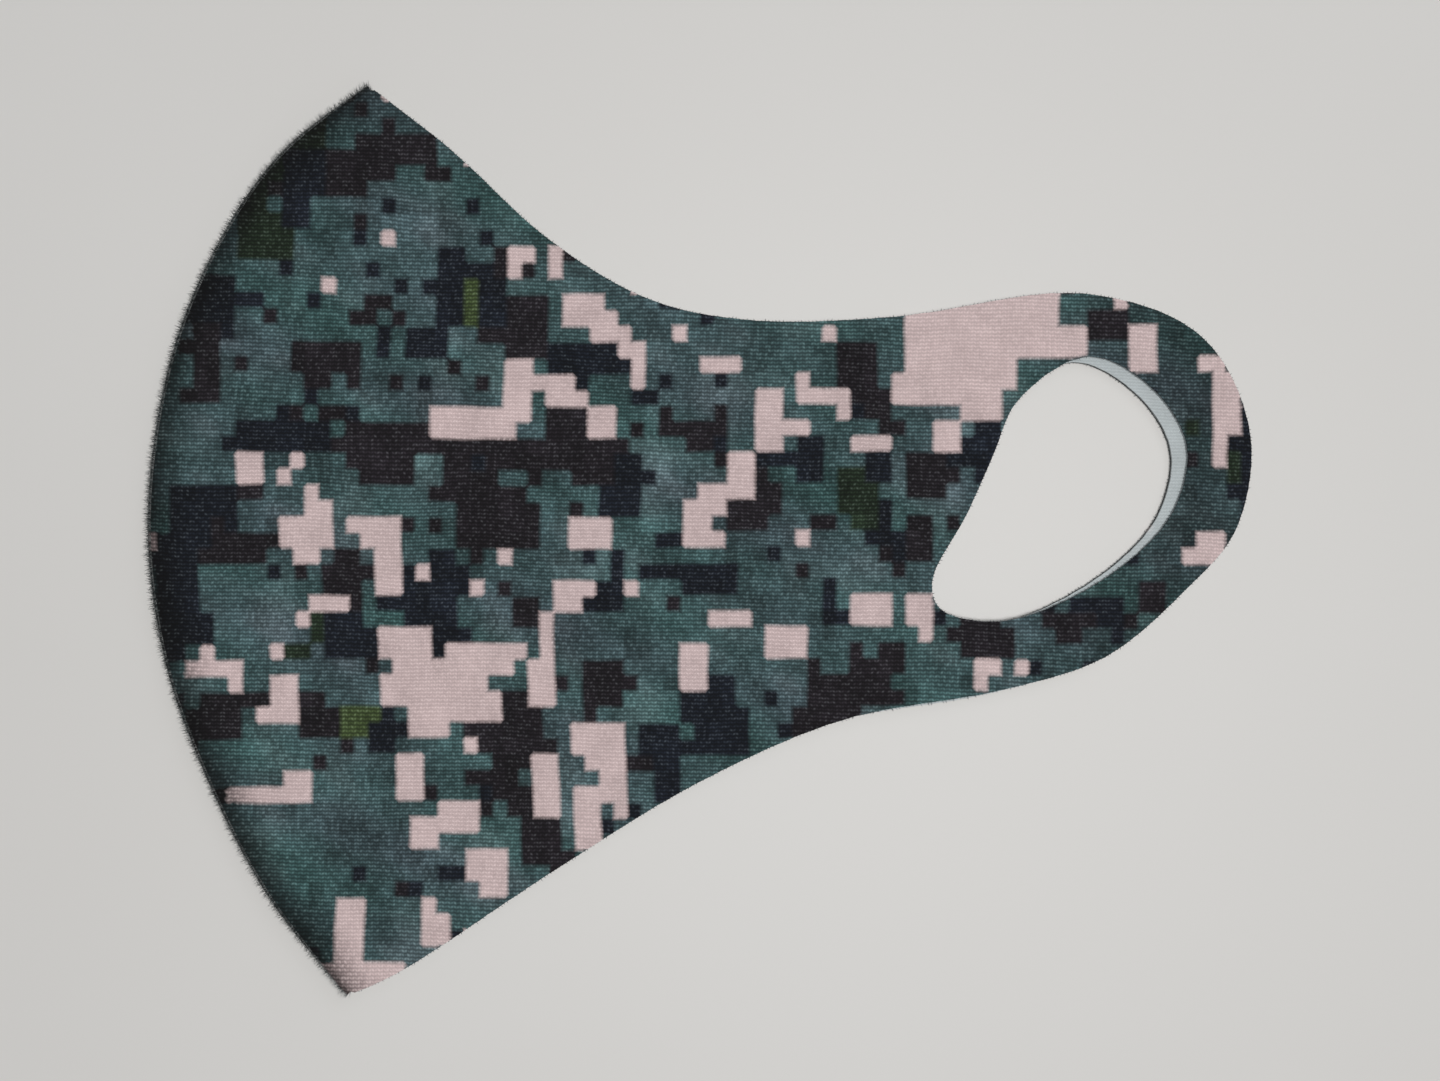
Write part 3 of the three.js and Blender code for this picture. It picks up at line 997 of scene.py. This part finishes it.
class MASK_OT_stage(bpy.types.Operator):
    """Lay the surface and set the light and the camera"""

    bl_idname = "mask.stage"
    bl_label = "Stage"

    def execute(self, context):
        stage = context.scene.mask_stage
        self.add_floor()
        self.add_lights()
        camera_data = bpy.data.cameras.new("camera")
        camera_data.lens = stage.lens
        camera_data.sensor_width = 36
        camera = bpy.data.objects.new("camera", camera_data)
        distance = stage.view_width * stage.lens / camera_data.sensor_width
        camera.location = (*stage.view_middle, FOLD_HEIGHT * MM + distance)
        camera.rotation_euler = (0, 0, stage.roll)
        context.scene.collection.objects.link(camera)
        context.scene.camera = camera
        context.scene.view_settings.view_transform = "Standard"
        return {"FINISHED"}

    @staticmethod
    def add_floor():
        """A plain pale surface under the mask."""
        mesh = bpy.data.meshes.new("floor")
        reach = 1.5
        corners = [(-reach, -reach, 0), (reach, -reach, 0), (reach, reach, 0), (-reach, reach, 0)]
        mesh.from_pydata(corners, [], [(0, 1, 2, 3)])
        floor = bpy.data.objects.new("floor", mesh)
        bpy.context.scene.collection.objects.link(floor)
        material, tree, shader = new_material("floor_surface")
        inputs = {"Vector": object_place(tree), "Scale": 9.0, "Detail": 3.0}
        noise = add_node(tree, "ShaderNodeTexNoise", inputs)
        cloud = noise.outputs[0]
        colour = mix_colour(tree, "MIX", cloud, (0.60, 0.59, 0.575, 1), (0.65, 0.645, 0.635, 1))
        set_surface(tree, shader, colour, calc(tree, "MULTIPLY_ADD", cloud, 0.1, 0.45))
        mesh.materials.append(material)

    @staticmethod
    def add_lights():
        """A small key light nearly overhead, a broad cool fill and a dim studio all round.

        Each light has its name, watts, size, place and colour."""
        lights = (
            ("key_light", 14.8, 0.3, (0.10, -0.04, 1.4), (1.0, 0.988, 0.968)),
            ("fill_light", 2.6, 1.0, (0.7, 0.9, 1.5), (0.94, 0.97, 1.0)),
        )
        for name, power, size, place, colour in lights:
            data = bpy.data.lights.new(name, "AREA")
            data.energy = power
            data.size = size
            data.color = colour
            light = bpy.data.objects.new(name, data)
            light.location = place
            light.rotation_mode = "QUATERNION"
            light.rotation_quaternion = (-Vector(place)).to_track_quat("-Z", "Y")
            bpy.context.scene.collection.objects.link(light)
        world = bpy.data.worlds.new("studio")
        world.use_nodes = True
        background = world.node_tree.nodes["Background"]
        background.inputs["Color"].default_value = (0.95, 0.97, 1.0, 1)
        background.inputs["Strength"].default_value = 0.14
        bpy.context.scene.world = world


class MASK_OT_halves(bpy.types.Operator):
    """Make both halves of the mask: three layers of knit each, in a front and a rear part"""

    bl_idname = "mask.halves"
    bl_label = "Cloth Halves"

    def execute(self, context):
        cloth = context.scene.mask_cloth
        colours = context.scene.mask_colours
        materials = {"face": printed_knit(), "core": core_knit(), "lining": lining_knit()}
        painted_shade_depth, painted_shade_reach = 0.86, 7.4
        for side in SIDES:
            pattern = pattern_of(side)
            column = to_print(pattern.flat[pattern.triangles].mean(axis=1), cloth)[:, 0]
            parts = {"front": column < PART_COLUMN, "rear": column >= PART_COLUMN}
            dye = print_colours_and_shade(pattern.flat, cloth, colours)
            # Painted shade along the front seam: the colour darkens towards the fold, where the cloth rolls
            # away from the light; it also stands in for the print squeezed darker round the roll.
            dye[:, :3] *= 1 - painted_shade_depth * (1 - ease(pattern.fold_distance / painted_shade_reach))[:, None]
            for layer in LAYERS:
                top, bottom = LAYER_DEPTHS[layer]
                outer = cloth_points(pattern, top, side, cloth)
                inner = cloth_points(pattern, bottom, side, cloth)
                places = [np.c_[pattern.flat, np.full(len(pattern.flat), -depth)] for depth in (top, bottom)]
                values = [("flat_place", "FLOAT_VECTOR", *places), ("print_dye_and_shade", "FLOAT_COLOR", dye, dye)]
                for part, chosen in parts.items():
                    triangles = pattern.triangles[chosen]
                    name = f"{side}_{part}_{layer}_cloth"
                    obj = build_slab(name, triangles, outer, inner, side == "right", values)
                    obj.data.materials.append(materials[layer])
                    self.declare(obj, side, part, layer, pattern.flat, triangles)
        return {"FINISHED"}

    @staticmethod
    def declare(obj, side, part, layer, flat, triangles):
        """Bakes the piece's place into its mesh and hides the plain nodes it stands for."""
        if part == "front":
            bend_front(obj)
            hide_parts(f"{side}_front_{layer}", f"{side}_cheek_{layer}")
        else:
            bend_rear(obj)
            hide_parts(f"{side}_ear_loop_{layer}")


class MASK_OT_seam(bpy.types.Operator):
    """Sew the front seam: the allowances turned inside, the needle thread and both looper threads"""

    bl_idname = "mask.seam"
    bl_label = "Front Seam"

    def execute(self, context):
        sewing = context.scene.mask_seam
        bare_ends, needle_inset, edge_inset, looper_height, tip_gap = 12, 0.3, 0.2, 0.72, 0.5
        for side in SIDES:
            self.add_allowance(side)
        pattern = pattern_of("left")
        ring = pattern.ring[bare_ends:-bare_ends]
        outward = pattern.outward[bare_ends:-bare_ends]
        low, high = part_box("needle_thread")
        middle = (low.z + high.z) / 2
        needle_line = np.c_[(ring - outward * needle_inset) * MM, np.full(len(ring), middle)]
        thread = grow("needle_stitches", needle_line, None, stitch_tree(), seam_thread(),
                      Stitch=sewing.stitch_length, Radius=sewing.thread_radius)
        self.finish_thread(thread, "needle_thread")
        raw_edge = ring - outward * (ALLOWANCE_WIDTH + edge_inset)
        raw_edge = raw_edge[raw_edge[:, 0] < TIP_X - tip_gap]
        for name, away in (("lower", -looper_height), ("upper", looper_height)):
            height = np.full(len(raw_edge), SEAM_HEIGHT + away)
            thread = grow(f"{name}_looper_stitches", np.c_[raw_edge, height] * MM, None, overlock_tree(),
                          seam_thread(), Stitch=sewing.stitch_length, Radius=sewing.thread_radius)
            self.finish_thread(thread, f"{name}_looper_thread")
        return {"FINISHED"}

    @staticmethod
    def finish_thread(obj, node):
        """A thread stays with the seam and stands for its plain node."""
        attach(obj, "front_seam")
        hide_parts(node)

    @staticmethod
    def add_allowance(side):
        """The turned-in edge of a half: it runs back from the roll and thins towards its raw edge.

        It is stated at the least width that a sheet can have, with its true area."""
        steps, least_width = 10, 10.0
        thickness, edge_thickness, gap, tip_gap = 0.74, 0.6, 0.02, 0.2
        pattern = pattern_of(side)
        ring = pattern.ring
        rows = [ring - pattern.outward * ALLOWANCE_WIDTH * k / steps for k in range(steps + 1)]
        count = len(ring)
        flat = np.concatenate(rows)
        triangles = []
        for k in range(steps):
            outer, inner = k * count + np.arange(count), (k + 1) * count + np.arange(count)
            triangles.append(np.c_[outer[:-1], outer[1:], inner[:-1]])
            triangles.append(np.c_[outer[1:], inner[1:], inner[:-1]])
        triangles = np.concatenate(triangles)
        middles = flat[triangles].mean(axis=1)
        triangles = triangles[middles[:, 0] < TIP_X - tip_gap]
        across = np.repeat(np.arange(steps + 1) / steps, count)
        lift = np.abs(gap + 1.5 * gap * waves(flat, (9.0, 14.0), 51))
        facing = SEAM_HEIGHT + lift
        hidden = facing + thickness - (thickness - edge_thickness) * ease(across)
        sheet = [np.c_[flat, height] for height in (hidden, facing)]
        if side == "right":
            for points in sheet:
                points[:, 2] = FOLD_HEIGHT - points[:, 2]
        scene = bpy.context.scene
        reaches = [2 * ROLL_REACH + ALLOWANCE_WIDTH * k / steps for k in range(steps + 1)]
        beyond = np.concatenate([ring + pattern.outward * reach for reach in reaches])
        place = np.c_[beyond, np.zeros(len(beyond))]
        dye = print_colours_and_shade(beyond, scene.mask_cloth, scene.mask_colours)
        values = [("flat_place", "FLOAT_VECTOR", place, place), ("print_dye_and_shade", "FLOAT_COLOR", dye, dye)]
        outer, inner = (points * MM for points in sheet)
        obj = build_slab(f"{side}_allowance_cloth", triangles, outer, inner, side == "right", values)
        obj.data.materials.append(lining_knit())
        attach(obj, "front_seam")
        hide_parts(f"{side}_seam_allowance")


class MASK_OT_fibres(bpy.types.Operator):
    """Raise the loose fibres along the front seam and the cut edges"""

    bl_idname = "mask.fibres"
    bl_label = "Loose Fibres"

    def execute(self, context):
        sewing = context.scene.mask_seam
        pale = loose_fibre("seam_fibre", (0.015, 0.02, 0.02, 1), (0.20, 0.21, 0.21, 1))
        dark = loose_fibre("edge_fibre", (0.015, 0.02, 0.022, 1), (0.12, 0.14, 0.15, 1))
        for side in SIDES:
            self.seam_fuzz(side, sewing, pale)
            self.edge_fuzz(side, sewing, dark)
        return {"FINISHED"}

    @staticmethod
    def seam_fuzz(side, sewing, material):
        """Rows of fibres standing off the roll of the seam, rooted just under its surface."""
        root, steepness, rows = 0.985, 0.5, (48, 66, 84)
        pattern = pattern_of(side)
        for number, degrees in enumerate(rows, 1):
            turn = math.radians(degrees)
            outward, reach = pattern.outward, root * pattern.reach[:, None]
            places = pattern.ring + outward * reach * math.sin(turn)
            height = FOLD_HEIGHT - ROLL_HEIGHT * (1 - root * math.cos(turn))
            rise = steepness * math.cos(turn)
            if side == "right":
                height = FOLD_HEIGHT - height
                rise = -rise
            line = np.c_[places, np.full(len(places), height)] * MM
            heading = np.c_[outward, np.full(len(places), rise)]
            obj = grow(f"{side}_seam_fibres_{number}", line, heading, fibre_tree(), material,
                       Spacing=sewing.fibre_spacing, Length=sewing.fibre_length, Radius=sewing.fibre_radius,
                       Lean=0.6, Seed=sewing.seed + 3 * SIDES.index(side) + number)
            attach(obj, "front_seam")

    @staticmethod
    def edge_fuzz(side, sewing, material):
        """Sparse dark nubs along the cut edges, where the printed face was cut through.

        Each edge is split where it passes from the front part to the rear part."""
        root_depth, shortest = 0.15, 4
        pattern = pattern_of(side)
        cloth = bpy.context.scene.mask_cloth
        start = pattern.ring_count
        rear = np.arange(start, start + pattern.rear_count)
        hole = np.arange(start + pattern.rear_count, start + pattern.rear_count + pattern.hole_count)
        surface = cloth_points(pattern, root_depth, side, cloth)
        in_front = to_print(pattern.flat, cloth)[:, 0] < PART_COLUMN
        runs = {"rear": [], "front": []}
        for loop, turn in ((rear, 1), (hole, -1)):
            along = directions(pattern.flat[loop]) * turn
            outward = np.c_[along[:, 1], -along[:, 0], np.zeros(len(loop))]
            for part, chosen in (("front", in_front[loop]), ("rear", ~in_front[loop])):
                for piece in np.split(np.arange(len(loop)), np.flatnonzero(np.diff(chosen.astype(int))) + 1):
                    if chosen[piece[0]] and len(piece) >= shortest:
                        runs[part].append((surface[loop[piece]], outward[piece]))
        for part, pieces in runs.items():
            for number, (points, outward) in enumerate(pieces, 1):
                obj = grow(f"{side}_{part}_edge_fibres_{number}", points, outward, fibre_tree(), material,
                           Spacing=sewing.nub_spacing, Length=sewing.nub_length, Radius=sewing.nub_radius,
                           Lean=1.1, Seed=sewing.seed + 10 + number)
                if part == "front":
                    bend_front(obj)
                else:
                    bend_rear(obj)


class MASK_PT_panel(bpy.types.Panel):
    """Steps and settings of the face mask"""

    bl_idname = "MASK_PT_panel"
    bl_label = "Face Mask"
    bl_space_type = "VIEW_3D"
    bl_region_type = "UI"
    bl_category = "Face Mask"

    def draw(self, context):
        for step in STEPS:
            self.layout.operator(step.bl_idname)
        for name in SETTINGS:
            group = getattr(context.scene, name)
            box = self.layout.box()
            for label in group.__annotations__:
                box.prop(group, label)


STEPS = (MASK_OT_stage, MASK_OT_halves, MASK_OT_seam, MASK_OT_fibres)
SETTINGS = {
    "mask_cloth": ClothSettings,
    "mask_colours": PrintColours,
    "mask_seam": SeamSettings,
    "mask_stage": StageSettings,
}


def register():
    """Adds the steps, the panel and the settings."""
    for kind in (*SETTINGS.values(), *STEPS, MASK_PT_panel):
        bpy.utils.register_class(kind)
    for name, kind in SETTINGS.items():
        setattr(bpy.types.Scene, name, PointerProperty(type=kind))


def unregister():
    """Takes them all away again."""
    for name in SETTINGS:
        delattr(bpy.types.Scene, name)
    for kind in (MASK_PT_panel, *STEPS, *SETTINGS.values()):
        bpy.utils.unregister_class(kind)


def main():
    """Registers the steps and builds the mask."""
    register()
    bpy.ops.mask.stage()
    bpy.ops.mask.halves()
    bpy.ops.mask.seam()
    bpy.ops.mask.fibres()


if __name__ == "__main__":
    main()
